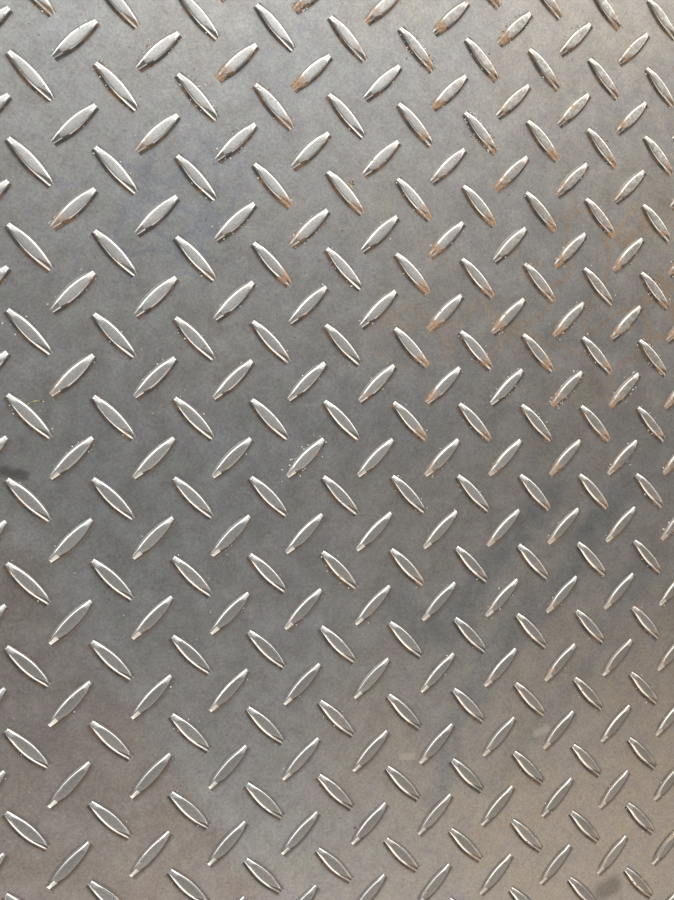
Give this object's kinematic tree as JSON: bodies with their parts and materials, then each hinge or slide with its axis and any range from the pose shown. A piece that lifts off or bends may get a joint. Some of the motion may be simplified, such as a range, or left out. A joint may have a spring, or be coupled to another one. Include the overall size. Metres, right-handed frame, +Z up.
{
  "type": "checker plate",
  "caption": "Square piece of hot rolled steel floor plate with raised lens-shaped lugs that lean alternately left and right, and sheared edges.",
  "frame": {"origin": "middle of the smooth underside, where the plate rests", "axes": "+Z up through the plate to the lugs, +X and +Y along the sheared edges"},
  "size_m": [0.5, 0.5, 0.0065],
  "materials": {
    "rolled_steel": "hot rolled mill scale, grey and half glossy, worn bright along the lugs, with light orange rust and dust"
  },
  "bodies": {
    "root": {"checker_plate": "rolled_steel"}
  },
  "joints": []
}
